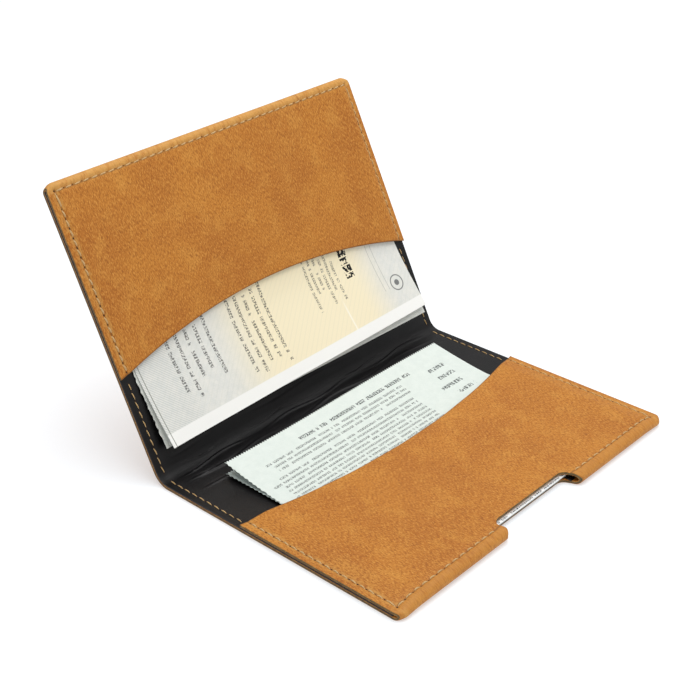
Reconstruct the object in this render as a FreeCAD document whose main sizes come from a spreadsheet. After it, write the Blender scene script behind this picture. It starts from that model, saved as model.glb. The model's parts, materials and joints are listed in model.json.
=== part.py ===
"""Bifold document and card case in leather, open, with the papers it holds.

Row frame: X runs along the spine, the front half lies on Z = 0 and points
to -Y, and the rear half leans back to +Y. The origin is under the middle of
the open case. All sizes are millimetres and degrees.

Each half is drawn flat in a frame of its own: x along the spine, y from the
fold line towards the free edge, z from the outer leather to the inside.
"""
import FreeCAD, Part
import math
import os

import Sketcher

SIZES = {
    # the case
    "case_width": 130.0,        # along the spine
    "half_depth": 91.8,         # fold line to the free edge
    "opening_angle": 116.0,     # between the two halves
    "leather": 1.1,             # thickness of the hide
    "lining": 0.5,
    "spine_width": 6.2,         # from one bending axis to the other
    "fold_gap": 0.95,           # bending axis to the start of each half
    # pockets
    "front_room": 1.3,          # hollow between lining and pocket leaf
    "rear_room": 0.8,
    "front_mouth": 31.6,        # fold line to the mouth, at the side edges
    "rear_mouth": 30.25,
    "front_arch": 8.6,          # rise of the mouth's arch in the middle
    "rear_arch": 9.4,
    "border": 4.1,              # stitched-down strip beside the hollow
    "border_step": 0.8,         # width of the step up from that strip
    # thumb notch in the front free edge
    "notch_width": 35.2,
    "notch_depth": 5.45,
    "notch_radius": 3.0,
    "tab_trim": 1.2,            # cut across the corners beside the notch
    "corner_trim": 1.5,         # cut across the outer corners
    # thread
    "stitch": 2.2,
    "pitch": 3.2,
    "thread_width": 0.45,
    "thread_height": 0.35,
    "groove_width": 0.8,
    "groove_depth": 0.4,
    "row_inset": 2.4,           # side edge to the middle of the side rows
    "edge_row_inset": 2.65,     # free edge to the middle of the edge rows
    "mouth_space": 0.5,         # half the space between stitches at the mouth
    "pocket_stitches": 18,
    "lining_stitches": 9,
    "front_edge_stitches": 13,
    "front_edge_start": 60.2,   # first stitch of the front edge rows
    "rear_top_stitches": 38,
    # papers
    "certificate_width": 121.0,
    "certificate_depth": 80.0,
    "certificate_thickness": 0.45,
    "certificate_start": 5.6,
    "slip_width": 100.0,
    "slip_depth": 74.0,
    "slip_thickness": 0.24,
    "slip_start": 9.35,
    "card_width": 85.6,
    "card_depth": 54.0,
    "card_thickness": 0.76,
    "card_radius": 3.18,
    "card_past_notch": 0.85,    # how far the card shows in the thumb notch
    "paper_clearance": 0.1,     # between the layers in the front pocket
}

doc = FreeCAD.newDocument("DocumentCase")
sheet = doc.addObject("Spreadsheet::Sheet", "Sizes")
for row, (alias, value) in enumerate(SIZES.items(), 1):
    sheet.set(f"A{row}", alias)
    sheet.set(f"B{row}", str(value))
    sheet.setAlias(f"B{row}", alias)
doc.recompute()

# Sizes that follow from the sheet, as expressions.
HALF_WIDTH = "Sizes.case_width / 2"
PANEL = "(Sizes.leather + Sizes.lining)"
FOLD_HEIGHT = f"({PANEL} / 2)"
FRONT_THICK = "(2 * Sizes.leather + Sizes.lining + Sizes.front_room)"
REAR_THICK = "(2 * Sizes.leather + Sizes.lining + Sizes.rear_room)"
FRONT_FLAT_END = f"(Sizes.half_depth - {FRONT_THICK} / 2)"
REAR_FLAT_END = f"(Sizes.half_depth - {REAR_THICK} / 2)"
SPINE_LEAN = "(90 - Sizes.opening_angle / 2)"
REAR_LEAN = "(180 - Sizes.opening_angle)"
NOTCH_FLOOR = "(Sizes.half_depth - Sizes.notch_depth)"
ROW_X = f"({HALF_WIDTH} - Sizes.row_inset)"
EDGE_ROW_Y = "(Sizes.half_depth - Sizes.edge_row_inset)"

# The rear half's local origin, measured from the front fold line.
REAR_BASE_Y = (f"(Sizes.spine_width * cos({SPINE_LEAN})"
               f" + {FOLD_HEIGHT} * sin({REAR_LEAN}))")
REAR_BASE_Z = (f"({FOLD_HEIGHT} + Sizes.spine_width * sin({SPINE_LEAN})"
               f" - {FOLD_HEIGHT} * cos({REAR_LEAN}))")
# How far the leaning half reaches back from that origin.
REAR_REACH = (f"({REAR_FLAT_END} * cos({REAR_LEAN})"
              f" - {REAR_THICK} / 2 * sin({REAR_LEAN}) + {REAR_THICK} / 2)")
# The front fold line's Y, which centres the whole case on the origin.
FOLD_Y = f"((Sizes.half_depth - {REAR_BASE_Y} - {REAR_REACH}) / 2)"


# ---------------------------------------------------------------- drawing
def number(expression):
    """The value of an expression on the sheet, in millimetres."""
    value = sheet.evalExpression(str(expression))
    return float(getattr(value, "Value", value))


def new_body(label):
    """An empty body that may hold several separate solids."""
    body = doc.addObject("PartDesign::Body", label)
    body.Label = label
    body.AllowCompound = True
    return body


def new_sketch(body, role, name, level="0"):
    """A sketch on one of the body's own planes, level along its normal."""
    sketch = body.newObject("Sketcher::SketchObject", name)
    plane = [p for p in body.Origin.OriginFeatures if p.Role == role][0]
    sketch.AttachmentSupport = [(plane, "")]
    sketch.MapMode = "FlatFace"
    sketch.setExpression("AttachmentOffset.Base.z", level)
    return sketch


def arc_through(start, end, radius):
    """The shorter arc between two points; a negative radius bends it right."""
    chord = end - start
    middle = (start + end) * 0.5
    rise = abs(radius) - math.sqrt(radius ** 2 - (chord.Length / 2) ** 2)
    side = FreeCAD.Vector(-chord.y, chord.x, 0).normalize()
    top = middle + side * math.copysign(rise, radius)
    return Part.Arc(start, top, end)


def outline(sketch, corners):
    """Close a loop through corners, each bound to the sheet.

    A corner is (x, y) or (x, y, radius); with a radius, the edge that
    arrives at it is an arc of that radius.
    """
    spots = [FreeCAD.Vector(number(c[0]), number(c[1]), 0) for c in corners]
    edges = []
    for index, corner in enumerate(corners):
        start, end = spots[index - 1], spots[index]
        if len(corner) == 3:
            curve = arc_through(start, end, number(corner[2]))
        else:
            curve = Part.LineSegment(start, end)
        edges.append(sketch.addGeometry(curve, False))
    for index, corner in enumerate(corners):
        edge = edges[index]
        follower = edges[(index + 1) % len(edges)]
        tip = nearest_end(sketch, edge, spots[index])
        sketch.addConstraint(Sketcher.Constraint(
            "Coincident", edge, tip,
            follower, nearest_end(sketch, follower, spots[index])))
        for kind, where in (("DistanceX", corner[0]), ("DistanceY", corner[1])):
            bind(sketch, Sketcher.Constraint(
                kind, -1, 1, edge, tip, number(where)), where)
        if len(corner) == 3:
            radius = str(corner[2]).lstrip("-")
            bind(sketch, Sketcher.Constraint(
                "Radius", edge, number(radius)), radius)


def nearest_end(sketch, edge, spot):
    """Which end of a sketch edge, 1 or 2, lies on the spot."""
    first = sketch.getPoint(edge, 1).distanceToPoint(spot)
    second = sketch.getPoint(edge, 2).distanceToPoint(spot)
    return 1 if first < second else 2


def bind(sketch, constraint, expression):
    """Add a constraint whose value follows the sheet."""
    index = sketch.addConstraint(constraint)
    sketch.setExpression(f"Constraints[{index}]", str(expression))


def pad(body, sketch, length, backwards=False):
    """Raise a sketch by a length from the sheet."""
    feature = body.newObject("PartDesign::Pad", "Pad")
    feature.Profile = sketch
    feature.setExpression("Length", length)
    feature.Reversed = backwards
    body.Tip = feature
    doc.recompute()
    return feature


def cut(body, sketch, depth, into=True):
    """Cut a sketch into the body and make sure that material has gone.

    into cuts along the sketch's normal; otherwise it cuts against it.
    """
    before = body.Shape.Volume
    feature = body.newObject("PartDesign::Pocket", "Pocket")
    feature.Profile = sketch
    feature.setExpression("Length", depth)
    feature.Reversed = into
    body.Tip = feature
    doc.recompute()
    if not body.Shape.Volume < before:
        raise RuntimeError(f"{body.Label}: a pocket cut nothing")
    return feature


def rectangle(low_x, low_y, high_x, high_y):
    """Corners of an upright rectangle."""
    return [(low_x, low_y), (high_x, low_y), (high_x, high_y), (low_x, high_y)]


# ---------------------------------------------------------------- places
def place_front(body):
    """Turn a flat half round so that it points to -Y from the fold line."""
    body.Placement = FreeCAD.Placement(
        FreeCAD.Vector(), FreeCAD.Rotation(FreeCAD.Vector(0, 0, 1), 180))
    body.setExpression("Placement.Base.y", FOLD_Y)


def place_leaning(body, angle, base_y, base_z):
    """Lean a flat piece back about X."""
    body.Placement = FreeCAD.Placement(
        FreeCAD.Vector(), FreeCAD.Rotation(FreeCAD.Vector(1, 0, 0), 10))
    body.setExpression("Placement.Rotation.Angle", angle)
    body.setExpression("Placement.Base.y", base_y)
    body.setExpression("Placement.Base.z", base_z)


def place_spine(body):
    place_leaning(body, SPINE_LEAN,
                  f"{FOLD_Y} + {FOLD_HEIGHT} * sin({SPINE_LEAN})",
                  f"{FOLD_HEIGHT} * (1 - cos({SPINE_LEAN}))")


def place_rear(body):
    place_leaning(body, REAR_LEAN, f"{FOLD_Y} + {REAR_BASE_Y}", REAR_BASE_Z)


# ---------------------------------------------------------------- leather
def notched_panel(flat_end):
    """Outline of a front panel with the thumb notch in its free edge."""
    side = "Sizes.notch_width / 2"
    inner = f"({side} - Sizes.notch_radius)"
    shoulder = f"{NOTCH_FLOOR} + Sizes.notch_radius"
    return [(f"-{HALF_WIDTH}", "Sizes.fold_gap"),
            (HALF_WIDTH, "Sizes.fold_gap"),
            (HALF_WIDTH, flat_end),
            (side, flat_end),
            (side, shoulder),
            (inner, NOTCH_FLOOR, "Sizes.notch_radius"),
            (f"-{inner}", NOTCH_FLOOR),
            (f"-{side}", shoulder, "Sizes.notch_radius"),
            (f"-{side}", flat_end),
            (f"-{HALF_WIDTH}", flat_end)]


def plain_panel(flat_end):
    """Outline of a rear panel."""
    return rectangle(f"-{HALF_WIDTH}", "Sizes.fold_gap", HALF_WIDTH, flat_end)


def sheet_panel(label, corners, level, thickness, place):
    """A flat sheet of leather or lining."""
    body = new_body(label)
    sketch = new_sketch(body, "XY_Plane", "Outline", level)
    outline(sketch, corners)
    pad(body, sketch, thickness)
    place(body)
    return body


def side_grooves(body, start="Sizes.fold_gap / 2", end=EDGE_ROW_Y):
    """Grooves in the outer face that the side rows of thread lie in."""
    for side in ("-", ""):
        sketch = new_sketch(body, "XY_Plane", "Groove")
        edges = [f"{side}({ROW_X} {sign} Sizes.groove_width / 2)"
                 for sign in ("-", "+")]
        outline(sketch, rectangle(edges[0], start, edges[1], end))
        cut(body, sketch, "Sizes.groove_depth")


def edge_groove(body, low_x, high_x, level="0", into=True):
    """A groove along the free edge for the edge row of thread."""
    sketch = new_sketch(body, "XY_Plane", "EdgeGroove", level)
    outline(sketch, rectangle(low_x, f"{EDGE_ROW_Y} - Sizes.groove_width / 2",
                              high_x, f"{EDGE_ROW_Y} + Sizes.groove_width / 2"))
    cut(body, sketch, "Sizes.groove_depth", into)


def front_edge_spans():
    """Both stretches of the front free edge that are stitched."""
    run = "(Sizes.front_edge_stitches * Sizes.pitch)"
    inner = f"(Sizes.front_edge_start - {run})"
    outer = "(Sizes.front_edge_start + Sizes.mouth_space / 2)"
    return [(inner, outer), (f"-{outer}", f"-{inner}")]


def rear_edge_span():
    """The stitched stretch of the rear free edge."""
    reach = "(Sizes.rear_top_stitches * Sizes.pitch / 2)"
    return (f"-{reach}", reach)


def front_cover():
    body = sheet_panel("front_cover", notched_panel(FRONT_FLAT_END),
                       "0", "Sizes.leather", place_front)
    side_grooves(body)
    for low_x, high_x in front_edge_spans():
        edge_groove(body, low_x, high_x)
    return body


def rear_cover():
    body = sheet_panel("rear_cover", plain_panel(REAR_FLAT_END),
                       "0", "Sizes.leather", place_rear)
    side_grooves(body)
    edge_groove(body, *rear_edge_span())
    return body


def linings():
    """The black cloth on the inside of each cover."""
    return [sheet_panel("front_lining", notched_panel(FRONT_FLAT_END),
                        "Sizes.leather", "Sizes.lining", place_front),
            sheet_panel("rear_lining", plain_panel(REAR_FLAT_END),
                        "Sizes.leather", "Sizes.lining", place_rear)]


def pocket_leaf(label, mouth, arch, room, flat_end, place):
    """A leaf stitched down along both sides, raised over its hollow,
    with an arched mouth towards the spine."""
    body = new_body(label)
    top = f"({PANEL} + {room} + Sizes.leather)"
    border_top = f"({PANEL} + Sizes.leather)"
    foot = f"({HALF_WIDTH} - Sizes.border)"
    inside = f"({foot} - Sizes.border_step / 2)"
    step_foot = f"({foot} + Sizes.border_step)"
    section = new_sketch(body, "XZ_Plane", "Section", f"-{mouth}")
    outline(section, [
        (f"-{HALF_WIDTH}", PANEL), (f"-{foot}", PANEL),
        (f"-{inside}", f"{PANEL} + {room}"), (inside, f"{PANEL} + {room}"),
        (foot, PANEL), (HALF_WIDTH, PANEL),
        (HALF_WIDTH, border_top), (step_foot, border_top),
        (foot, top), (f"-{foot}", top),
        (f"-{step_foot}", border_top), (f"-{HALF_WIDTH}", border_top)])
    pad(body, section, f"{flat_end} - {mouth}", backwards=True)

    # The arch is one round stretch through both mouth corners.
    radius = f"(({HALF_WIDTH}) ^ 2 + {arch} ^ 2) / (2 * {arch})"
    sketch = new_sketch(body, "XY_Plane", "Mouth", PANEL)
    outline(sketch, [(f"-{HALF_WIDTH}", f"{mouth} - {arch}"),
                     (HALF_WIDTH, f"{mouth} - {arch}"),
                     (HALF_WIDTH, mouth),
                     (f"-{HALF_WIDTH}", mouth, f"-{radius}")])
    cut(body, sketch, f"{room} + Sizes.leather")
    place(body)
    return body


def front_pocket():
    body = pocket_leaf("front_pocket", "Sizes.front_mouth", "Sizes.front_arch",
                       "Sizes.front_room", FRONT_FLAT_END, place_front)
    side = "Sizes.notch_width / 2"
    inner = f"({side} - Sizes.notch_radius)"
    shoulder = f"{NOTCH_FLOOR} + Sizes.notch_radius"
    sketch = new_sketch(body, "XY_Plane", "ThumbNotch", PANEL)
    outline(sketch, [(side, shoulder, "-Sizes.notch_radius"),
                     (side, "Sizes.half_depth"),
                     (f"-{side}", "Sizes.half_depth"), (f"-{side}", shoulder),
                     (f"-{inner}", NOTCH_FLOOR, "-Sizes.notch_radius"),
                     (inner, NOTCH_FLOOR)])
    cut(body, sketch, "Sizes.front_room + Sizes.leather")
    return body


def pocket_edge_grooves(front_leaf, rear_leaf):
    """Sink the edge rows of thread into the inner faces of both leaves."""
    for low_x, high_x in front_edge_spans():
        edge_groove(front_leaf, low_x, high_x, FRONT_THICK, into=False)
    edge_groove(rear_leaf, *rear_edge_span(), REAR_THICK, into=False)


def edge_fold(label, thickness, low_x, high_x, trims, place):
    """The hide turned over at the free edge: half a ring in section.

    trims are the cuts across the corners of its two ends, low x first.
    """
    body = new_body(label)
    middle = f"({thickness} / 2)"
    flat_end = f"(Sizes.half_depth - {middle})"
    hollow = f"({middle} - Sizes.leather)"
    sketch = new_sketch(body, "YZ_Plane", "Section", low_x)
    outline(sketch, [
        (flat_end, "0"),
        ("Sizes.half_depth", middle, f"-{middle}"),
        (flat_end, thickness, f"-{middle}"),
        (flat_end, f"{thickness} - Sizes.leather"),
        (f"Sizes.half_depth - Sizes.leather", middle, hollow),
        (flat_end, "Sizes.leather", hollow)])
    pad(body, sketch, f"{high_x} - {low_x}")
    for end_x, outwards, trim in ((low_x, "-", trims[0]),
                                  (high_x, "+", trims[1])):
        inwards = "+" if outwards == "-" else "-"
        beyond_x = f"{end_x} {outwards} {trim}"
        beyond_y = f"Sizes.half_depth + {trim}"
        corner = new_sketch(body, "XY_Plane", "Corner")
        outline(corner, [(beyond_x, f"Sizes.half_depth - 2 * {trim}"),
                         (beyond_x, beyond_y),
                         (f"{end_x} {inwards} 2 * {trim}", beyond_y)])
        cut(body, corner, thickness)
    place(body)
    return body


def edge_folds():
    """Left and right of the thumb notch in front, and all along the rear."""
    notch_side = "Sizes.notch_width / 2"
    corner, tab = "Sizes.corner_trim", "Sizes.tab_trim"
    return [edge_fold("front_edge_fold_left", FRONT_THICK, notch_side,
                      HALF_WIDTH, (tab, corner), place_front),
            edge_fold("front_edge_fold_right", FRONT_THICK, f"-{HALF_WIDTH}",
                      f"-{notch_side}", (corner, tab), place_front),
            edge_fold("rear_edge_fold", REAR_THICK, f"-{HALF_WIDTH}",
                      HALF_WIDTH, (corner, corner), place_rear)]


def spine_layer(label, low_z, high_z):
    """One layer of the bending strip, with its ends round on the axes."""
    body = new_body(label)
    reach = {}
    for z in (low_z, high_z):
        reach[z] = f"sqrt({FOLD_HEIGHT} ^ 2 - ({z} - {FOLD_HEIGHT}) ^ 2)"
    sketch = new_sketch(body, "YZ_Plane", "Section", f"-{HALF_WIDTH}")
    outline(sketch, [
        (f"-{reach[low_z]}", low_z, f"-{FOLD_HEIGHT}"),
        (f"Sizes.spine_width + {reach[low_z]}", low_z),
        (f"Sizes.spine_width + {reach[high_z]}", high_z, f"-{FOLD_HEIGHT}"),
        (f"-{reach[high_z]}", high_z)])
    pad(body, sketch, "Sizes.case_width")
    return body


def spine():
    cover = spine_layer("spine_cover", "0", "Sizes.leather")
    length = "(Sizes.stitch / 2 + Sizes.mouth_space)"
    side_grooves(cover, f"Sizes.spine_width / 2 - {length}",
                 f"Sizes.spine_width / 2 + {length}")
    place_spine(cover)
    lining = spine_layer("spine_lining", "Sizes.leather", PANEL)
    place_spine(lining)
    return [cover, lining]


# ---------------------------------------------------------------- thread
THREAD_IN_GROOVE = "(Sizes.groove_depth - Sizes.thread_height)"


def stitch_row(body, axis, start_x, start_y, level, count):
    """A row of equal stitches from a start point along X or Y."""
    sketch = new_sketch(body, "XY_Plane", "Stitch", level)
    half = "Sizes.thread_width / 2"
    if axis == "X_Axis":
        loop = rectangle(start_x, f"{start_y} - {half}",
                         f"{start_x} + Sizes.stitch", f"{start_y} + {half}")
    else:
        loop = rectangle(f"{start_x} - {half}", start_y,
                         f"{start_x} + {half}", f"{start_y} + Sizes.stitch")
    outline(sketch, loop)
    first = pad(body, sketch, "Sizes.thread_height")
    row = body.newObject("PartDesign::LinearPattern", "Row")
    row.Originals = [first]
    direction = [a for a in body.Origin.OriginFeatures if a.Role == axis][0]
    row.Direction = (direction, [""])
    row.Mode = "Spacing"
    row.setExpression("Offset", "Sizes.pitch")
    row.setExpression("Occurrences", count)
    body.Tip = row
    doc.recompute()


def side_seam(label, side, mouth, place):
    """Lock stitch up one side: on the lining, on the leaf, and outside."""
    body = new_body(label)
    row_x = f"{side}{ROW_X}"
    leaf_start = f"({mouth} + Sizes.mouth_space)"
    start = f"({leaf_start} - Sizes.lining_stitches * Sizes.pitch)"
    stitch_row(body, "Y_Axis", row_x, start, PANEL, "Sizes.lining_stitches")
    stitch_row(body, "Y_Axis", row_x, leaf_start,
               f"{PANEL} + Sizes.leather", "Sizes.pocket_stitches")
    stitch_row(body, "Y_Axis", row_x, start, THREAD_IN_GROOVE,
               "Sizes.lining_stitches + Sizes.pocket_stitches")
    place(body)
    return body


def edge_seam(label, start_x, thickness, count, place):
    """Lock stitch along a free edge, sunk in its grooves on both faces."""
    body = new_body(label)
    stitch_row(body, "X_Axis", start_x, EDGE_ROW_Y, THREAD_IN_GROOVE, count)
    stitch_row(body, "X_Axis", start_x, EDGE_ROW_Y,
               f"{thickness} - Sizes.groove_depth", count)
    place(body)
    return body


def spine_seam(label, side):
    """The stitch on each face that crosses the bend."""
    body = new_body(label)
    start = "(Sizes.spine_width - Sizes.stitch) / 2"
    for level in (THREAD_IN_GROOVE, PANEL):
        stitch_row(body, "Y_Axis", f"{side}{ROW_X}", start, level, "1")
    place_spine(body)
    return body


def seams():
    run = "(Sizes.front_edge_stitches * Sizes.pitch - 2 * Sizes.mouth_space)"
    count = "Sizes.front_edge_stitches"
    top_run = "(Sizes.rear_top_stitches * Sizes.pitch - 2 * Sizes.mouth_space)"
    # The front half is turned round, so its left side is at +x in its own
    # frame and at -X in the row's.
    return [side_seam("seam_front_left", "", "Sizes.front_mouth", place_front),
            side_seam("seam_front_right", "-", "Sizes.front_mouth",
                      place_front),
            edge_seam("seam_front_edge_left",
                      f"(Sizes.front_edge_start - {run})",
                      FRONT_THICK, count, place_front),
            edge_seam("seam_front_edge_right", "-Sizes.front_edge_start",
                      FRONT_THICK, count, place_front),
            spine_seam("seam_spine_left", "-"),
            spine_seam("seam_spine_right", ""),
            side_seam("seam_rear_left", "-", "Sizes.rear_mouth", place_rear),
            side_seam("seam_rear_right", "", "Sizes.rear_mouth", place_rear),
            edge_seam("seam_rear_top", f"-{top_run} / 2", REAR_THICK,
                      "Sizes.rear_top_stitches", place_rear)]


# ---------------------------------------------------------------- papers
def paper_outline(width, start, depth):
    """Corners of a sheet that lies in a pocket, centred on the case."""
    return rectangle(f"-{width} / 2", start, f"{width} / 2",
                     f"{start} + {depth}")


def certificate():
    """Folded registration paper, loose in the rear pocket."""
    level = f"{PANEL} + (Sizes.rear_room - Sizes.certificate_thickness) / 2"
    return sheet_panel(
        "certificate",
        paper_outline("Sizes.certificate_width", "Sizes.certificate_start",
                      "Sizes.certificate_depth"),
        level, "Sizes.certificate_thickness", place_rear)


def slip():
    """Folded insurance slip, loose on top of the card."""
    level = (f"{PANEL} + 2 * Sizes.paper_clearance"
             " + Sizes.card_thickness")
    return sheet_panel(
        "slip",
        paper_outline("Sizes.slip_width", "Sizes.slip_start",
                      "Sizes.slip_depth"),
        level, "Sizes.slip_thickness", place_front)


def card():
    """Plastic card on the front lining, its end in the thumb notch."""
    side = "(Sizes.card_width / 2)"
    inner = f"({side} - Sizes.card_radius)"
    end = f"({NOTCH_FLOOR} + Sizes.card_past_notch)"
    start = f"({end} - Sizes.card_depth)"
    radius = "-Sizes.card_radius"
    loop = [(f"-{inner}", start, radius), (inner, start),
            (side, f"{start} + Sizes.card_radius", radius),
            (side, f"{end} - Sizes.card_radius"),
            (inner, end, radius), (f"-{inner}", end),
            (f"-{side}", f"{end} - Sizes.card_radius", radius),
            (f"-{side}", f"{start} + Sizes.card_radius")]
    return sheet_panel("card", loop, f"{PANEL} + Sizes.paper_clearance",
                       "Sizes.card_thickness", place_front)


# ---------------------------------------------------------------- build
front_leaf = front_pocket()
rear_leaf = pocket_leaf("rear_pocket", "Sizes.rear_mouth", "Sizes.rear_arch",
                        "Sizes.rear_room", REAR_FLAT_END, place_rear)
pocket_edge_grooves(front_leaf, rear_leaf)
pieces = [front_cover(), rear_cover(), front_leaf, rear_leaf, *linings(),
          *edge_folds(), *spine(), *seams(), certificate(), slip(), card()]
doc.recompute()

for item in doc.Objects:
    if "Invalid" in item.State or "Error" in item.State:
        raise RuntimeError(f"{item.Name} failed: {item.State}")
for piece in pieces:
    if piece.Shape.isNull() or not piece.Shape.isValid():
        raise RuntimeError(f"{piece.Label}: its shape is not valid")

os.makedirs("parts", exist_ok=True)
for piece in pieces:
    piece.Shape.exportStep(os.path.join("parts", f"{piece.Label}.step"))
    box = piece.Shape.BoundBox
    print(f"{piece.Label:24s} {len(piece.Shape.Solids):3d} solids "
          f"{piece.Shape.Volume:10.2f} mm3  "
          f"x {box.XMin:7.2f} {box.XMax:7.2f}  "
          f"y {box.YMin:7.2f} {box.YMax:7.2f}  z {box.ZMin:6.2f} {box.ZMax:6.2f}")
print("fold line y:", round(number(FOLD_Y), 4))
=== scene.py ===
import json
import math
import random

import bmesh
import bpy
from mathutils import Matrix, Vector


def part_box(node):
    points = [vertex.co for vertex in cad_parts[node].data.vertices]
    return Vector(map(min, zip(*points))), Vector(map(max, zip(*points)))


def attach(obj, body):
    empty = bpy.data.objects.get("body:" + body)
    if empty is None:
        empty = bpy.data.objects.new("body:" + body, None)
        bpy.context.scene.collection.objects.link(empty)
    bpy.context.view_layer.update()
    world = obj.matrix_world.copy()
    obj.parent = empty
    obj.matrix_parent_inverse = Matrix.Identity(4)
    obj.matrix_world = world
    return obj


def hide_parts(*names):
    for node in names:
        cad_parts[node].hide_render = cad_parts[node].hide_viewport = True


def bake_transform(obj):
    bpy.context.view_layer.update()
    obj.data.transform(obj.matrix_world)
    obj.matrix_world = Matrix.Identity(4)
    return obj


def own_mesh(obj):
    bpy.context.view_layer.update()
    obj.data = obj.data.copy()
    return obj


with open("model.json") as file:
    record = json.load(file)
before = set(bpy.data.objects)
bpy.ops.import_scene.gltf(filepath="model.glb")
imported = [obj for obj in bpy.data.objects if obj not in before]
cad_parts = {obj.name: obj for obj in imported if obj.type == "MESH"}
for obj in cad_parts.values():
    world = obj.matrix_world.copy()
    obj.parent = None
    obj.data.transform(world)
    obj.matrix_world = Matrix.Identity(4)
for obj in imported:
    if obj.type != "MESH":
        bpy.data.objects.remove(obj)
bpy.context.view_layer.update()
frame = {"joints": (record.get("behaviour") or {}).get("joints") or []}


# ------------------------------------------------------------------ table, camera and lamps
# The open case stands on a white table top. A large soft lamp hangs over it to the right and in
# front, so its shade falls softly to the left and behind the spine.
scene = bpy.context.scene
scene.view_settings.view_transform = "Standard"


def add_object(name, data):
    """A new object for this mesh, camera or lamp, placed in the scene."""
    made = bpy.data.objects.new(name, data)
    scene.collection.objects.link(made)
    return made


camera = add_object("camera", bpy.data.cameras.new("camera"))
camera.data.lens = 71.47
camera.data.sensor_width = 36
camera.matrix_world = (Matrix.Translation((-0.28118, -0.25206, 0.24235))
                       @ Matrix.Rotation(math.radians(-47.32), 4, "Z")
                       @ Matrix.Rotation(math.radians(60.605), 4, "X")
                       @ Matrix.Rotation(math.radians(-0.8635), 4, "Z"))
scene.camera = camera


def feed(tree, node, links):
    """Set sockets of a shader node to values, or join them to other nodes."""
    for socket, value in links.items():
        if isinstance(value, bpy.types.NodeSocket):
            tree.links.new(value, node.inputs[socket])
        else:
            node.inputs[socket].default_value = value


def add_node(tree, kind, links=None, **settings):
    """A shader node with its settings, its sockets set to values or joined to other nodes."""
    made = tree.nodes.new(kind)
    for name, value in settings.items():
        setattr(made, name, value)
    feed(tree, made, links or {})
    return made


def shade(code):
    """A colour such as B57030 as a linear shader colour."""
    parts = [int(code[k:k + 2], 16) / 255 for k in (0, 2, 4)]
    return [c / 12.92 if c < 0.04045 else ((c + 0.055) / 1.055) ** 2.4 for c in parts] + [1.0]


def new_finish(name):
    """An empty material with its Principled shader."""
    finish = bpy.data.materials.new(name)
    finish.use_nodes = True
    tree = finish.node_tree
    tree.nodes.clear()
    surface = add_node(tree, "ShaderNodeBsdfPrincipled")
    add_node(tree, "ShaderNodeOutputMaterial", {"Surface": surface.outputs[0]})
    return finish, tree, surface


# The table top glows a little more away from the case, so that it stays white to its far side.
table_finish, table_tree, table_surface = new_finish("white_table")
table_spot = add_node(table_tree, "ShaderNodeTexCoord").outputs["Object"]
table_reach = add_node(table_tree, "ShaderNodeVectorMath", {0: table_spot}, operation="LENGTH")
table_glow = add_node(table_tree, "ShaderNodeMapRange",
                      {"Value": table_reach.outputs["Value"], "From Min": 0.4, "From Max": 1.6,
                       "To Min": 0.42, "To Max": 0.72}, interpolation_type="SMOOTHSTEP")
feed(table_tree, table_surface, {
    "Base Color": (0.60, 0.63, 0.66, 1), "Roughness": 0.8, "Specular IOR Level": 0.0,
    "Emission Color": (1, 1, 1, 1), "Emission Strength": table_glow.outputs[0]})
table_mesh = bpy.data.meshes.new("table_top")
table_work = bmesh.new()
bmesh.ops.create_grid(table_work, x_segments=1, y_segments=1, size=40)
table_work.to_mesh(table_mesh)
table_work.free()
table_mesh.materials.append(table_finish)
add_object("table_top", table_mesh)

scene.world = bpy.data.worlds.new("room")
scene.world.use_nodes = True
feed(scene.world.node_tree, scene.world.node_tree.nodes["Background"],
     {"Color": (1, 1, 1, 1), "Strength": 0.52})


def add_lamp(name, place, aim, width, height, power):
    """A rectangular soft lamp that faces a point."""
    lamp = add_object(name, bpy.data.lights.new(name, "AREA"))
    lamp.data.shape = "RECTANGLE"
    lamp.data.size = width
    lamp.data.size_y = height
    lamp.data.energy = power
    facing = (Vector(aim) - Vector(place)).to_track_quat("-Z", "Y").to_matrix().to_4x4()
    lamp.matrix_world = Matrix.Translation(place) @ facing


add_lamp("overhead_softbox", (0.14, 0.0, 0.95), (0, 0, 0), width=0.9, height=0.9, power=7.8)
add_lamp("front_softbox", (0.20, -0.9, 0.45), (0, 0, 0.03), width=0.6, height=0.4, power=0.9)


# ------------------------------------------------------------------ hide
# The case is one long piece of waxed, oiled cowhide 1.1 mm thick. It is folded round both free
# edges to make the two pockets, and it bends at the spine. Front and rear meet at mid spine.
HIDE = 1.1
HIDE_RIM = 0.2
OUTER_CORNER = 3.0
joints = {joint["name"]: joint for joint in frame["joints"]}
front_axis = Vector(joints["front_fold"]["pos_m"]) * 1000
rear_axis = Vector(joints["rear_fold"]["pos_m"]) * 1000
neutral = front_axis.z
spine_chord = (rear_axis - front_axis).length
spine_lean = math.atan2(rear_axis.z - front_axis.z, rear_axis.y - front_axis.y)
bend_radius = spine_chord / (2 * math.sin(spine_lean))
bend_length = bend_radius * 2 * spine_lean
half_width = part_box("front_cover")[1].x * 1000
half_depth = front_axis.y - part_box("front_edge_fold_left")[0].y * 1000


def lay(u, q, w):
    """From the flat case to the open one: u along the spine, q from the front half over the bend
    to the rear half with 0 at the front fold, w up from the outer face. Millimetres to metres."""
    rise = w - neutral
    lean = 2 * spine_lean
    if q <= 0:
        y, z = front_axis.y + q, w
    elif q < bend_length:
        turn = q / bend_radius
        y = front_axis.y + (bend_radius - rise) * math.sin(turn)
        z = neutral + bend_radius - (bend_radius - rise) * math.cos(turn)
    else:
        beyond = q - bend_length
        y = rear_axis.y + beyond * math.cos(lean) - rise * math.sin(lean)
        z = rear_axis.z + beyond * math.sin(lean) + rise * math.cos(lean)
    return Vector((u, y, z)) * 0.001


def front_place(u, v, w):
    """A spot on the front half, v from its fold line."""
    return lay(u, -v, w)


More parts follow.
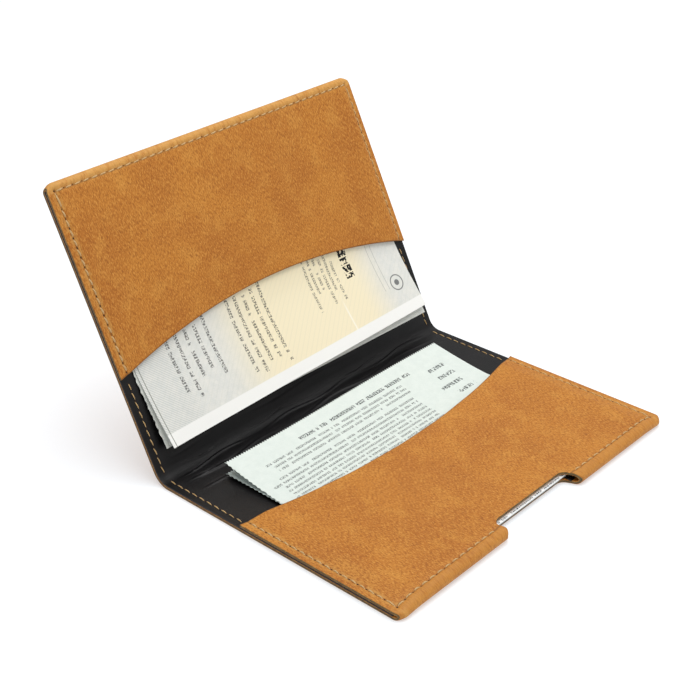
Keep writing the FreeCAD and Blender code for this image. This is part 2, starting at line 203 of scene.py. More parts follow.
def rear_place(u, v, w):
    """A spot on the rear half, v from its fold line."""
    return lay(u, bend_length + v, w)


def rule(*stretches):
    """Lines across a sheet: (start, spacing) for each stretch, then the last line."""
    lines = [stretches[0][0]]
    for (start, spacing), following in zip(stretches, stretches[1:]):
        end = following[0]
        steps = max(1, math.ceil((end - start) / spacing - 1e-6))
        lines += [start + (end - start) * k / steps for k in range(1, steps + 1)]
    return lines


def both_ways(lines):
    """Lines that start at 0, repeated on the other side."""
    return [-line for line in reversed(lines[1:])] + lines


def ruled_sheet(across, along):
    """A flat sheet with a row of points on each line."""
    work = bmesh.new()
    bmesh.ops.create_grid(work, x_segments=len(across) - 1, y_segments=len(along) - 1, size=0.5)
    for point in work.verts:
        point.co.x = across[round((point.co.x + 0.5) * (len(across) - 1))]
        point.co.y = along[round((point.co.y + 0.5) * (len(along) - 1))]
    return work


def thicken(work, thickness):
    """Give a flat sheet its thickness, equally up and down."""
    bmesh.ops.solidify(work, geom=work.faces[:], thickness=thickness)
    middle = (max(p.co.z for p in work.verts) + min(p.co.z for p in work.verts)) / 2
    bmesh.ops.translate(work, vec=(0, 0, -middle), verts=work.verts)


def round_rims(work, radius, steps, kept=lambda edge: False):
    """Round the cut edges of a flat sheet, apart from those kept square."""
    rims = [edge for edge in work.edges if len(edge.link_faces) == 2 and not kept(edge)
            and {abs(face.normal.z) > 0.5 for face in edge.link_faces} == {True, False}]
    bmesh.ops.bevel(work, geom=rims, offset=radius, segments=steps, affect="EDGES",
                    profile=0.5, material=-1)


def form(work, name, finishes, place, sharp=40, cut=lambda along: 0.0):
    """Note each point's place on the flat sheet, put it in the case, and make the piece. cut is
    how much deeper in the grain its finish is read, so that no two sheets have the same marks."""
    flat = work.verts.layers.float_vector.new("flat")
    for point in work.verts:
        point[flat] = point.co + Vector((0, 0, cut(point.co.y)))
        point.co = place(*point.co)
    bmesh.ops.recalc_face_normals(work, faces=work.faces)
    for face in work.faces:
        face.smooth = True
    mesh = bpy.data.meshes.new(name)
    work.to_mesh(mesh)
    work.free()
    mesh.set_sharp_from_angle(angle=math.radians(sharp))
    for finish in finishes:
        mesh.materials.append(finish)
    return add_object(name, mesh)


def ease(value):
    """0 to 1 with a soft start and end."""
    value = min(1.0, max(0.0, value))
    return value * value * (3 - 2 * value)


def hump(value, width):
    """A smooth hump of height 1 at 0."""
    return math.exp(-(value / width) ** 2)


# Rows of thread, from the middle of the case and from the fold line.
ROW_U = half_width - 2.4
ROW_V = half_depth - 2.65
# Half the width of the thumb notch, its floor from the fold line, and its inner corners. Beside it
# the roll is a little askew for this far, and ends in rounded tabs.
NOTCH_SIDE = 17.6
NOTCH_FLOOR = half_depth - 5.45
NOTCH_CORNER = 3.0
NOTCH_REACH = 4.0
NOTCH_ASKEW = 0.8
TAB_CORNER = 2.0
# How far the side rows and the edge rows pull the pocket leaf in, and any row lifts the cover.
SIDE_PULL = 0.30
EDGE_PULL = 0.46
COVER_LIFT = 0.38
# Height of the pocket leaf at the open sides, where it lies on the lining.
LOW_TOP = 2.75
# From here to the free edge the flat sheet keeps its true length; nearer the spine it is stretched
# a little, so that it ends on the mouth or at mid spine.
STRETCH_FROM = 72.0
mid_spine = bend_length / 2


class Half:
    """Sizes of one half of the case: its pocket's height, mouth and rise of the mouth's arch, how
    far its rolled edge stands proud, and the spacing of its stitches."""

    def __init__(self, top, shoulder, mouth, arch, proud, notched, pitch, first, edge_pitch):
        self.top, self.shoulder, self.mouth, self.arch = top, shoulder, mouth, arch
        self.proud = proud
        self.pitch, self.first, self.edge_pitch = pitch, first, edge_pitch
        self.notched = notched
        self.arch_radius = (half_width ** 2 + arch ** 2) / (2 * arch)
        self.roll = math.pi / 2 * (top / 2 - HIDE / 2)
        self.leaf_length = half_depth - top / 2 + self.roll - mouth
        self.cover_length = half_depth - top / 2 + self.roll + mid_spine

    def mouth_at(self, u):
        """Where the arched mouth of the pocket is, from the fold line."""
        drop = self.arch_radius - math.sqrt(self.arch_radius ** 2 - u * u)
        return self.mouth + self.arch - drop

    def top_at(self, u):
        """Height of the pocket leaf, which slopes down to the open sides."""
        return LOW_TOP + (self.top - LOW_TOP) * ease((half_width - 0.7 - abs(u)) / self.shoulder)

    def sewn_edge(self, u):
        """How far the edge row of thread pulls the hide in here, 0 to 1."""
        if not self.notched:
            return 1.0
        return ease((abs(u) - NOTCH_SIDE - 1) / 2)

    def pucker(self, run, pitch):
        """The rows pull in most at the needle holes, and the hide swells between them."""
        return 0.62 + 0.38 * math.cos(2 * math.pi * run / pitch)

    def leaf_height(self, u, v):
        """Top of the pocket leaf, pulled down by the rows of thread."""
        height = self.top_at(u)
        side = SIDE_PULL * hump(abs(u) - ROW_U, 0.6) * ease(ROW_V + 1 - v)
        edge = EDGE_PULL * hump(v - ROW_V, 0.7) * self.sewn_edge(u) * ease(ROW_U + 1 - abs(u))
        height -= side * self.pucker(v - self.first, self.pitch)
        height -= edge * self.pucker(ROW_U - abs(u), self.edge_pitch)
        swell = (math.sin(u * 0.13 + 1) * math.sin(v * 0.17 + u * 0.05)
                 + math.sin(u * 0.31 + v * 0.07))
        inside_rows = ease((58 - abs(u)) / 12) * ease((84 - v) / 8)
        return height - 0.05 * (2 + swell) * inside_rows

    def cover_rise(self, u, v):
        """How far the rows of thread lift the outer face."""
        side = hump(abs(u) - ROW_U, 0.45) * ease((ROW_V + 0.8 - v) / 0.8)
        edge = hump(v - ROW_V, 0.45) * self.sewn_edge(u) * ease((ROW_U + 0.8 - abs(u)) / 0.8)
        return COVER_LIFT * max(side, edge)

    def fold(self, u, s, n):
        """The flat hide folded round the free edge: s is 0 on the edge, the cover is above 0 and
        the pocket leaf below it, n is out of the grain side."""
        radius = self.top_at(u) / 2
        inner = radius - HIDE / 2
        turn = math.pi / 2 * inner
        if abs(s) <= turn:
            v = half_depth - radius + (inner + n + self.proud) * math.cos(s / inner)
            w = radius - (inner + n) * math.sin(s / inner)
            if s < 0:
                w += (self.leaf_height(u, v) - 2 * radius) * math.sin(-s / inner) ** 4
            else:
                w += self.cover_rise(u, v) * math.sin(s / inner) ** 4
        else:
            length = self.cover_length if s > 0 else self.leaf_length
            end = -mid_spine if s > 0 else self.mouth_at(u)
            v = half_depth - radius - (abs(s) - turn)
            far = half_depth - radius - (length - turn)
            if v < STRETCH_FROM:
                stretch = (STRETCH_FROM - end) / (STRETCH_FROM - far)
                v = STRETCH_FROM - (STRETCH_FROM - v) * stretch
            if s > 0:
                w = HIDE / 2 - n + self.cover_rise(u, v)
            else:
                w = self.leaf_height(u, v) - HIDE / 2 + n
        return self.trim(u, v) + (w,)

    def trim(self, u, v):
        """Round the outer corners, and the corners beside the thumb notch."""
        side = math.copysign(1, u)
        rim = half_depth + self.proud
        x = (abs(u) - half_width) / OUTER_CORNER + 1
        y = (v - rim) / OUTER_CORNER + 1
        if x > 0 and y > 0:
            u = side * (half_width + OUTER_CORNER * (x * math.sqrt(max(0, 1 - y * y / 2)) - 1))
            v = rim + OUTER_CORNER * (y * math.sqrt(max(0, 1 - x * x / 2)) - 1)
        beside = 1 - (abs(u) - NOTCH_SIDE) / NOTCH_REACH
        if self.notched and 0 < beside <= 1.001:
            askew = NOTCH_ASKEW * ease((v - NOTCH_FLOOR - 1) / 4)
            past = min(TAB_CORNER, max(0.0, v - rim + TAB_CORNER))
            rounded = TAB_CORNER - math.sqrt(TAB_CORNER ** 2 - past * past)
            u += beside * (askew + side * rounded)
        return u, v


# Stitches of an edge row beside the notch and where that row starts, and of the rear half's row.
EDGE_START = 19.9
EDGE_COUNT = 13
TOP_COUNT = 39
front = Half(top=4.0, shoulder=9.0, mouth=31.6, arch=8.6, proud=0.8, notched=True, pitch=3.2,
             first=-1.665, edge_pitch=(ROW_U - EDGE_START) / EDGE_COUNT)
rear = Half(top=3.5, shoulder=3.7, mouth=30.25, arch=9.4, proud=0.0, notched=False, pitch=3.05,
            first=-1.74, edge_pitch=2 * ROW_U / TOP_COUNT)


def cut_hide(half):
    """The flat hide of one half, with its hole for the thumb notch, cut and edge rounded. Its lines
    are closer together where it curves: at the notch, the rows of thread and the bend."""
    across = both_ways(rule((0, 1), (NOTCH_SIDE - NOTCH_CORNER, 0.6), (NOTCH_SIDE, 0.7), (21, 0.85),
                            (61.2, 0.4), (64, 0.5), (half_width,)))
    hole = half_depth - half.top / 2 + half.roll - NOTCH_FLOOR
    along = rule((-half.leaf_length, 1), (-hole, 0.6), (-hole + NOTCH_CORNER, 0.3),
                 (hole - NOTCH_CORNER, 0.6), (hole, 1.2),
                 (half.cover_length - 2 * mid_spine, 0.5), (half.cover_length,))
    work = ruled_sheet(across, along)
    if half.notched:
        inside = [face for face in work.faces if abs(face.calc_center_median().x) < NOTCH_SIDE
                  and abs(face.calc_center_median().y) < hole]
        bmesh.ops.delete(work, geom=inside, context="FACES")
        for point in work.verts:
            past_x = abs(point.co.x) - NOTCH_SIDE
            past_y = abs(point.co.y) - hole
            if not point.is_boundary or max(past_x, past_y) > 0.01:
                continue
            over_x = past_x + NOTCH_CORNER
            over_y = past_y + NOTCH_CORNER
            if over_x > 0 and over_y > 0:
                pull = NOTCH_CORNER / math.hypot(over_x, over_y)
                point.co.x = math.copysign(NOTCH_SIDE - NOTCH_CORNER + over_x * pull, point.co.x)
                point.co.y = math.copysign(hole - NOTCH_CORNER + over_y * pull, point.co.y)
    thicken(work, HIDE)
    work.normal_update()
    end = half.cover_length - 0.01
    round_rims(work, HIDE_RIM, 2, lambda edge: min(p.co.y for p in edge.verts) > end)
    work.normal_update()
    for face in work.faces:
        if abs(face.normal.z) < 0.3:
            face.material_index = 1
    return work


def new_group(name, inputs, outputs):
    """An empty shader node group, with the sockets that it takes in and its output node."""
    group = bpy.data.node_groups.new(name, "ShaderNodeTree")
    for label, kind, value in inputs:
        socket = group.interface.new_socket(label, in_out="INPUT", socket_type="NodeSocket" + kind)
        if value is not None:
            socket.default_value = value
    for label, kind in outputs:
        group.interface.new_socket(label, in_out="OUTPUT", socket_type="NodeSocket" + kind)
    source = group.nodes.new("NodeGroupInput").outputs
    return group, source, group.nodes.new("NodeGroupOutput")


def sum_of(tree, operation, *values):
    """One step of arithmetic in a shader."""
    links = dict(enumerate(values))
    return add_node(tree, "ShaderNodeMath", links, operation=operation).outputs[0]


def noise(tree, place, scale, detail=2.0, roughness=0.5, distortion=0.0):
    """Soft cloudy noise, 0 to 1."""
    links = {"Vector": place, "Scale": scale, "Detail": detail, "Roughness": roughness,
             "Distortion": distortion}
    return add_node(tree, "ShaderNodeTexNoise", links).outputs["Fac"]


def between(tree, value, low, high):
    """0 below low, 1 above high, soft in between."""
    links = {"Value": value, "From Min": low, "From Max": high}
    return add_node(tree, "ShaderNodeMapRange", links, interpolation_type="SMOOTHSTEP").outputs[0]


def mixed(tree, share, first, second):
    """Two colours mixed by a share."""
    links = {0: share, 6: first, 7: second}
    return add_node(tree, "ShaderNodeMix", links, data_type="RGBA").outputs[2]


def times(tree, *values):
    """One value times another in a shader."""
    return sum_of(tree, "MULTIPLY", *values)


def distance_from(tree, value, line):
    """How far a coordinate is from a line, to either side."""
    return sum_of(tree, "ABSOLUTE", sum_of(tree, "SUBTRACT", value, line))


def spread(tree, value, low, high):
    """A 0 to 1 value spread over low to high, for roughness."""
    links = {"Value": value, "To Min": low, "To Max": high}
    return add_node(tree, "ShaderNodeMapRange", links).outputs[0]


def relief_of(tree, height, strength, depth):
    """A small bump from a height; depth in metres."""
    links = {"Height": height, "Strength": strength, "Distance": depth}
    return add_node(tree, "ShaderNodeBump", links).outputs[0]


def tinted(tree, colour, mask, share, tint):
    """A colour with a tint laid over it, by its share where the mask is 1."""
    return mixed(tree, times(tree, mask, share), colour, shade(tint))


def flat_place(tree):
    """Each point's place on its flat sheet, in millimetres."""
    return add_node(tree, "ShaderNodeAttribute", attribute_name="flat").outputs["Vector"]


def split(tree, place):
    """The three coordinates of a place."""
    return list(add_node(tree, "ShaderNodeSeparateXYZ", {0: place}).outputs)


def stretched(tree, place, x, y, z):
    """A place scaled differently along each direction."""
    links = {0: place, 1: (x, y, z)}
    return add_node(tree, "ShaderNodeVectorMath", links, operation="MULTIPLY").outputs[0]


grain_group, grain_in, grain_out = new_group(
    "hide_grain", [("Place", "Vector", None), ("Size", "Float", 1.0)],
    [("Clouds", "Float"), ("Mottle", "Float"), ("Fibres", "Float"), ("Height", "Float")])
sized = add_node(grain_group, "ShaderNodeVectorMath",
                 {0: grain_in["Place"], "Scale": grain_in["Size"]}, operation="SCALE").outputs[0]
drawn = stretched(grain_group, sized, 1.25, 0.85, 1.0)
clouds = noise(grain_group, sized, 0.045, 2.0, 0.5, 0.3)
mottle = noise(grain_group, drawn, 0.13, 4.0, 0.55, 0.3)
tilted = add_node(grain_group, "ShaderNodeMapping", {"Vector": drawn, "Rotation": (0, 0, 0.25),
                                                     "Scale": (1.35, 0.5, 1)}).outputs[0]
fibres = noise(grain_group, tilted, 1.9, 3.0, 0.75, 0.35)
pores = add_node(grain_group, "ShaderNodeTexVoronoi", {"Vector": sized, "Scale": 1.7},
                 feature="SMOOTH_F1").outputs["Distance"]
fine = noise(grain_group, sized, 3.2, 2.0, 0.6)
height = sum_of(grain_group, "MULTIPLY_ADD", pores, 0.7, times(grain_group, fine, 0.5))
height = sum_of(grain_group, "MULTIPLY_ADD", fibres, 0.5, height)
feed(grain_group, grain_out,
     {"Clouds": clouds, "Mottle": mottle, "Fibres": fibres, "Height": height})

# How much deeper in the grain the rear half's finish is read, fading to 0 over this length before
# mid spine. Then where the row of thread along the free edge is on the flat sheet.
REAR_CUT = 40.0
REAR_CUT_FADE = 60.0
EDGE_ROW = -2.86
hide_finish, tree, surface = new_finish("waxed_hide")
place = flat_place(tree)
u, s, cut = split(tree, place)
from_middle = sum_of(tree, "ABSOLUTE", u)
grain = add_node(tree, "ShaderNodeGroup", {"Place": place}, node_tree=grain_group).outputs
colour = mixed(tree, between(tree, grain["Clouds"], 0.3, 0.7), shade("AC671D"), shade("BA7626"))
colour = tinted(tree, colour, between(tree, grain["Mottle"], 0.46, 0.74), 0.55, "CC8E3C")
colour = tinted(tree, colour, between(tree, grain["Fibres"], 0.50, 0.64), 0.75, "D29544")
colour = tinted(tree, colour, between(tree, grain["Fibres"], 0.50, 0.36), 0.8, "874C14")

# The hide is paler where it is stretched: on the roll and beside the side rows. Both tints are
# partly painted highlight too: the roll is painted lighter, the rear roll, which faces up to the
# lamp, the most, and golden highlights are painted beside the side rows.
puckers = noise(tree, stretched(tree, place, 1.0, 0.28, 1.0), 0.95, 3.0, 0.6, 0.5)
rolled = times(tree, between(tree, s, -3.6, -2.7), between(tree, s, 1.0, -0.8))
rolled = times(tree, rolled, between(tree, puckers, 0.15, 0.62))
is_rear = sum_of(tree, "GREATER_THAN", cut, REAR_CUT / 2)
roll_colour_and_highlight = mixed(tree, is_rear, shade("BE823A"), shade("D29E54"))
colour = mixed(tree, times(tree, rolled, 0.75), colour, roll_colour_and_highlight)
from_side_row = distance_from(tree, from_middle, ROW_U)
pulled = times(tree, between(tree, from_side_row, 1.5, 0.5),
               between(tree, noise(tree, place, 0.9, 2.0), 0.35, 0.62))
colour = tinted(tree, colour, pulled, 0.6, "CB964C")

# Painted shade darkens the groove under each row of thread. The dark line on the rounded rim
# of the mouths is painted shade under the mouth together with the darker colour of its cut edge.
beside_edge_row = times(tree, between(tree, distance_from(tree, s, EDGE_ROW), 0.5, 0.1),
                        between(tree, from_middle, ROW_U + 0.4, ROW_U))
on_leaf = between(tree, s, -2.0, -2.4)
beside_side_row = times(tree, between(tree, from_side_row, 0.45, 0.1), on_leaf)
groove_shade = sum_of(tree, "MAXIMUM", beside_edge_row, beside_side_row)
colour = tinted(tree, colour, groove_shade, 0.55, "6E3F12")
mouth_at = sum_of(tree, "MULTIPLY_ADD", is_rear, rear.leaf_length - front.leaf_length,
                  front.leaf_length)
from_mouth = sum_of(tree, "ADD", s, mouth_at)
colour = tinted(tree, colour, between(tree, from_mouth, 0.55, 0.25), 0.6, "6E4416")

near_edge = between(tree, sum_of(tree, "ABSOLUTE", s), 6.0, 2.5)
relief = sum_of(tree, "MULTIPLY_ADD", times(tree, puckers, near_edge), 1.6, grain["Height"])
feed(tree, surface, {"Base Color": colour, "Roughness": spread(tree, grain["Mottle"], 0.5, 0.66),
                     "Normal": relief_of(tree, relief, 0.4, 0.00014), "Specular IOR Level": 0.3})

edge_finish, tree, surface = new_finish("cut_hide_edge")
layers = noise(tree, stretched(tree, flat_place(tree), 0.6, 0.6, 5), 1.0, 3.0, 0.6)
colour = mixed(tree, between(tree, layers, 0.35, 0.65), shade("36301C"), shade("846A40"))
feed(tree, surface, {"Base Color": colour, "Roughness": 0.8,
                     "Normal": relief_of(tree, layers, 0.6, 0.0002)})


def bend_front(piece):
    """Bake the placing of a piece of the front half into its mesh; its points already follow the
    bend.
    """
    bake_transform(piece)


def bend_rear(piece):
    """Bake the placing of a piece of the rear half into its mesh; its points already follow the
    bend.
    """
    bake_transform(piece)


def fold_front(u, s, n):
    """A spot on the front half's flat hide, folded and in its place."""
    return front_place(*front.fold(u, s, n))


def fold_rear(u, s, n):
    """A spot on the rear half's flat hide, folded and in its place."""
    return rear_place(*rear.fold(u, s, n))


hide_front = form(cut_hide(front), "hide_front", [hide_finish, edge_finish], fold_front)
bend_front(hide_front)
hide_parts("front_cover", "front_pocket", "front_edge_fold_left",
            "front_edge_fold_right", "spine_cover")

hide_rear = form(cut_hide(rear), "hide_rear", [hide_finish, edge_finish], fold_rear,
                 cut=lambda s: REAR_CUT * ease((rear.cover_length - s) / REAR_CUT_FADE))
bend_rear(hide_rear)
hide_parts("rear_cover", "rear_pocket", "rear_edge_fold")


# ------------------------------------------------------------------ linings
# Each half is lined with thin black coated cloth, glued to the flesh side of the cover and sewn in
# at the edges. Beside the spine it has come loose and lies in long, low wrinkles.
LINING = 0.5
LINING_PULL = 0.18
lining_finish, tree, surface = new_finish("black_lining")
place = flat_place(tree)
grain = add_node(tree, "ShaderNodeGroup", {"Place": place, "Size": 1.4},
                 node_tree=grain_group).outputs
cloth = noise(tree, stretched(tree, place, 1, 1, 0), 0.12, 3.0, 0.6)
colour = mixed(tree, between(tree, cloth, 0.35, 0.7), shade("090809"), shade("0F0D0E"))
colour = tinted(tree, colour, between(tree, grain["Fibres"], 0.55, 0.8), 0.35, "1E1B1A")
feed(tree, surface, {"Base Color": colour, "Roughness": spread(tree, grain["Mottle"], 0.34, 0.54),
                     "Normal": relief_of(tree, grain["Height"], 0.5, 0.0001),
                     "Specular IOR Level": 0.28})


def wrinkles(u, q):
    """Height of the loose lining over the cover beside the spine."""
    height = 0
    for line, tilt, sway, length, phase, tall, wide in (
            (-2.6, 0.020, 0.9, 34, 0.3, 0.42, 0.42), (-5.4, -0.012, 1.1, 46, 1.9, 0.36, 0.46),
            (1.4, 0.012, 0.8, 29, 4.0, 0.34, 0.38), (-8.4, 0.030, 0.8, 52, 2.8, 0.26, 0.44),
            (4.0, -0.015, 0.7, 23, 5.1, 0.24, 0.36), (9.6, 0.008, 0.5, 40, 0.9, 0.18, 0.42)):
        ridge = line + tilt * u + sway * math.sin(2 * math.pi * u / length + phase)
        fading = 0.55 + 0.45 * math.sin(2 * math.pi * u / (length * 1.7) + phase * 2)
        off = q - ridge
        height += tall * fading * (hump(off, wide) - 0.35 * hump(off - 1.5 * wide, wide))
    return height * ease((60.5 - abs(u)) / 9)


def line_half(half, outwards):
    """A flat lining for one half; outwards turns its v into q."""
    across = both_ways(rule((0, 1.1), (NOTCH_SIDE, 1.1), (half_width,)))
    notch_floor = NOTCH_FLOOR - 0.3
    along = rule((-mid_spine, 0.28), (14, 2.5), (notch_floor, 1.5),
                 (half_depth - half.top / 2 - 0.2,))
    work = ruled_sheet(across, along)
    if half.notched:
        inside = [face for face in work.faces if face.calc_center_median().y > notch_floor
                  and abs(face.calc_center_median().x) < NOTCH_SIDE]
        bmesh.ops.delete(work, geom=inside, context="FACES")
    thicken(work, LINING)

    def place(u, v, n):
        q = outwards(v)
        lift = wrinkles(u, q) * (1 if n > 0 else 0.5)
        pulled = LINING_PULL * hump(abs(u) - ROW_U, 0.6) if v < half.mouth - 2 else 0
        lift = max(lift, -0.2) - (pulled if n > 0 else 0)
        return lay(u, q, HIDE + LINING / 2 + n + lift)

    return work, place


work, place = line_half(front, lambda v: -v)
lining_front = form(work, "lining_front", [lining_finish], place)
bend_front(lining_front)
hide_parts("front_lining", "spine_lining")

work, place = line_half(rear, lambda v: bend_length + v)
lining_rear = form(work, "lining_rear", [lining_finish], place)
bend_rear(lining_rear)
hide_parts("rear_lining")


# ------------------------------------------------------------------ seams
# Lock-stitched rows of waxed beige thread hold cover, lining and pocket together: one down each
# side and one along each free edge. Each stitch dips into a needle hole at both ends.
STITCH_GAP = 0.5
# Half the height of a stitch, how high its middle lies, how far its ends dip, and how much fuller
# they are.
STITCH_THICK = 0.2
STITCH_MIDDLE = 0.09
STITCH_DIP = 0.26
STITCH_FULLER = 0.4
HOLE_RADIUS = 0.24
HOLE_LIFT = 0.045
# How far the thread is sunk in the lining, and how far it stands out from the outer face.
LINING_SINK = 0.08
OUTER_PROUD = 0.16
LINING_TOP = HIDE + LINING
luck = random.Random(7)

thread_finish, tree, surface = new_finish("beige_thread")
along, around, _ = split(tree, flat_place(tree))
turns = sum_of(tree, "MULTIPLY_ADD", along, 13.0, times(tree, around, 16.0))
twist = between(tree, sum_of(tree, "SINE", turns), -0.6, 0.6)
colour = mixed(tree, twist, shade("AC824A"), shade("E3C186"))
feed(tree, surface, {"Base Color": colour, "Roughness": 0.6, "Sheen Weight": 0.15,
                     "Normal": relief_of(tree, twist, 0.7, 0.00006)})

# Each needle hole is a small dark disc laid on the surface: painted shade in the hole.
hole_shade_finish, tree, surface = new_finish("needle_hole_shade")
colour = mixed(tree, noise(tree, flat_place(tree), 2.0), shade("1E120A"), shade("3A2412"))
feed(tree, surface, {"Base Color": colour, "Roughness": 0.9})


def sew(work, start, end, height, place, facing, slimness):
    """One stitch between two spots, and a dark disc at its start for the needle hole, painted shade
    in the hole. facing is 1 on the inside and -1 on the outer face."""
    flat = work.verts.layers.float_vector.active
    along = Vector((end[0] - start[0], end[1] - start[1]))
    length = along.length
    along.normalize()
    side = Vector((-along.y, along.x))
    lean = luck.uniform(0.10, 0.20)
    fatness = luck.uniform(0.22, 0.26) * slimness
    number = luck.uniform(0, 9)
    stitch = bmesh.ops.create_uvsphere(work, u_segments=6, v_segments=5, radius=1)["verts"]
    for point in stitch:
        x = point.co.z
        fuller = 1 + STITCH_FULLER * x * x
        y = point.co.x * fatness * fuller + x * lean
        z = point.co.y * STITCH_THICK * fuller + STITCH_MIDDLE - STITCH_DIP * x * x
        point[flat] = (x * length / 2 + number, point.co.x * 0.3, z)
        spot = Vector(start) + along * (length / 2 * (1 + x)) + side * y
        point.co = place(spot.x, spot.y, height(spot.x, spot.y) + facing * z)
    hole = bmesh.ops.create_circle(work, cap_ends=True, segments=6, radius=HOLE_RADIUS)["verts"]
    for point in hole:
        spot = (Vector(start) - along * STITCH_GAP / 2 + along * point.co.x * 1.3
                + side * point.co.y)
        point[flat] = (number, spot.x, spot.y)
        point.co = place(spot.x, spot.y, height(spot.x, spot.y) + facing * HOLE_LIFT)
    for face in hole[0].link_faces:
        face.material_index = 1


def seam(name, rows, bend, body, *replaced):
    """A seam of rows. A row is the spots between its stitches, its height, its place, its facing and
    how fat its thread is."""
    work = bmesh.new()
    work.verts.layers.float_vector.new("flat")
    for spots, height, place, facing, slimness in rows:
        for start, end in zip(spots, spots[1:]):
            run = Vector((end[0] - start[0], end[1] - start[1])).normalized() * STITCH_GAP / 2
            sew(work, (start[0] + run.x, start[1] + run.y), (end[0] - run.x, end[1] - run.y),
                height, place, facing, slimness)
    for face in work.faces:
        face.smooth = True
    mesh = bpy.data.meshes.new(name)
    work.to_mesh(mesh)
    work.free()
    mesh.materials.append(thread_finish)
    mesh.materials.append(hole_shade_finish)
    piece = add_object(name, mesh)
    if bend:
        bend(piece)
    else:
        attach(piece, body)
    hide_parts(*replaced)


def both_faces(half, on_leaf, ends, place):
    """One row on the pocket's border and one on the outer face."""
    return [(on_leaf, half.leaf_height, place, 1, 1),
            (ends, lambda u, v: half.cover_rise(u, v) - OUTER_PROUD, place, -1, 1)]


def side_rows(half, side, place):
    """Rows down one side: on the lining, on the pocket's border, and on the outer face."""
    ends = []
    while half.first + half.pitch * len(ends) < ROW_V + 0.2:
        ends.append((side * ROW_U, half.first + half.pitch * len(ends)))
    ends[-1] = (side * ROW_U, ROW_V)
    on_lining = [end for end in ends if end[1] < half.mouth + 0.9]
    on_leaf = [end for end in ends if end[1] > half.mouth - 0.9]
    lining_row = (on_lining, lambda u, v: LINING_TOP - LINING_SINK, place, 1, 0.7)
    return [lining_row] + both_faces(half, on_leaf, ends, place)


def edge_rows(half, from_u, to_u, count, place):
    """Rows along a free edge: on the pocket's border and on the outer face."""
    ends = [(from_u + (to_u - from_u) * k / count, ROW_V) for k in range(count + 1)]
    return both_faces(half, ends, ends, place)


for side, word in ((-1, "left"), (1, "right")):
    seam("stitches_front_" + word, side_rows(front, side, front_place), bend_front, None,
         "seam_front_" + word, "seam_spine_" + word)
    seam("stitches_rear_" + word, side_rows(rear, side, rear_place), bend_rear, None,
         "seam_rear_" + word)
    seam("stitches_front_edge_" + word,
         edge_rows(front, side * ROW_U, side * EDGE_START, EDGE_COUNT, front_place), None,
         "front_half", "seam_front_edge_" + word)
seam("stitches_rear_top", edge_rows(rear, -ROW_U, ROW_U, TOP_COUNT, rear_place), None, "rear_half",
     "seam_rear_top")


# ------------------------------------------------------------------ certificate
# A folded registration certificate on cream security paper stands in the rear pocket. Its three
# leaves spring apart at the spine end; the back leaf sticks out a little and has a torn edge.
def print_rows_group():
    """Rows of small print marks that are no real letters, ragged at their near end."""
    group, source, result = new_group(
        "print_rows",
        [("Along", "Float", 0.0), ("Across", "Float", 0.0), ("Pitch", "Float", 3.0),
         ("Letter Height", "Float", 0.45), ("Letter Width", "Float", 1.0), ("First", "Float", 0.0),
         ("Last", "Float", 10.0), ("Near End", "Float", 0.0), ("Ragged", "Float", 5.0),
         ("Far End", "Float", 80.0), ("Spaces", "Float", 0.17)],
        [("Mask", "Float")])

    def step(operation, *values):
        return sum_of(group, operation, *values)

    rows = step("DIVIDE", step("SUBTRACT", source["Across"], source["First"]), source["Pitch"])
    row = step("FLOOR", rows)
    off_middle = step("ABSOLUTE", step("SUBTRACT", step("FRACT", rows), 0.5))
    on_line = step("LESS_THAN", off_middle, step("MULTIPLY", source["Letter Height"], 0.5))
    block = step("MULTIPLY", step("GREATER_THAN", source["Across"], source["First"]),
                 step("LESS_THAN", source["Across"], source["Last"]))
    chance = add_node(group, "ShaderNodeTexWhiteNoise", {"W": step("ADD", row, source["First"])},
                      noise_dimensions="1D").outputs["Value"]
    begin = step("MULTIPLY_ADD", chance, source["Ragged"], source["Near End"])
    started = step("MULTIPLY", step("GREATER_THAN", source["Along"], begin),
                   step("LESS_THAN", source["Along"], source["Far End"]))
    letters = step("DIVIDE", source["Along"], source["Letter Width"])
    cell = add_node(group, "ShaderNodeCombineXYZ", {0: step("FLOOR", letters), 1: row}).outputs[0]
    draw = add_node(group, "ShaderNodeTexWhiteNoise", {"Vector": cell},
                    noise_dimensions="2D").outputs["Value"]
    inked = step("GREATER_THAN", draw, source["Spaces"])
    between_letters = step("LESS_THAN", step("FRACT", letters), 0.84)
    strokes = add_node(group, "ShaderNodeCombineXYZ", {0: step("MULTIPLY", letters, 1.9),
                                                       1: step("MULTIPLY", rows, 5.5)}).outputs[0]
    shape = step("GREATER_THAN", noise(group, strokes, 1.0, 1.0, 0.5), 0.47)
    shape = step("MULTIPLY", shape, between_letters)
    mask = step("MULTIPLY", step("MULTIPLY", on_line, block), step("MULTIPLY", started, inked))
    feed(group, result, {"Mask": step("MULTIPLY", mask, shape)})
    return group


print_rows = print_rows_group()

fibre_group, fibre_in, fibre_out = new_group(
    "paper_fibre", [("Place", "Vector", None)], [("Tone", "Float"), ("Height", "Float")])
coarse = noise(fibre_group, fibre_in["Place"], 0.35, 3.0, 0.6)
combed = stretched(fibre_group, fibre_in["Place"], 1.2, 3.0, 1)
hairs = noise(fibre_group, combed, 1.3, 3.0, 0.7, 0.8)
tone = sum_of(fibre_group, "MULTIPLY_ADD", coarse, 0.5, times(fibre_group, hairs, 0.5))
feed(fibre_group, fibre_out, {"Tone": tone, "Height": hairs})


def printed(tree, along, across, colour, ink, share, **values):
    """Add a block of print rows to a paper's colour."""
    links = {label.replace("_", " "): value for label, value in values.items()}
    links.update({"Along": along, "Across": across})
    rows = add_node(tree, "ShaderNodeGroup", links, node_tree=print_rows)
    return tinted(tree, colour, rows.outputs["Mask"], share, ink)


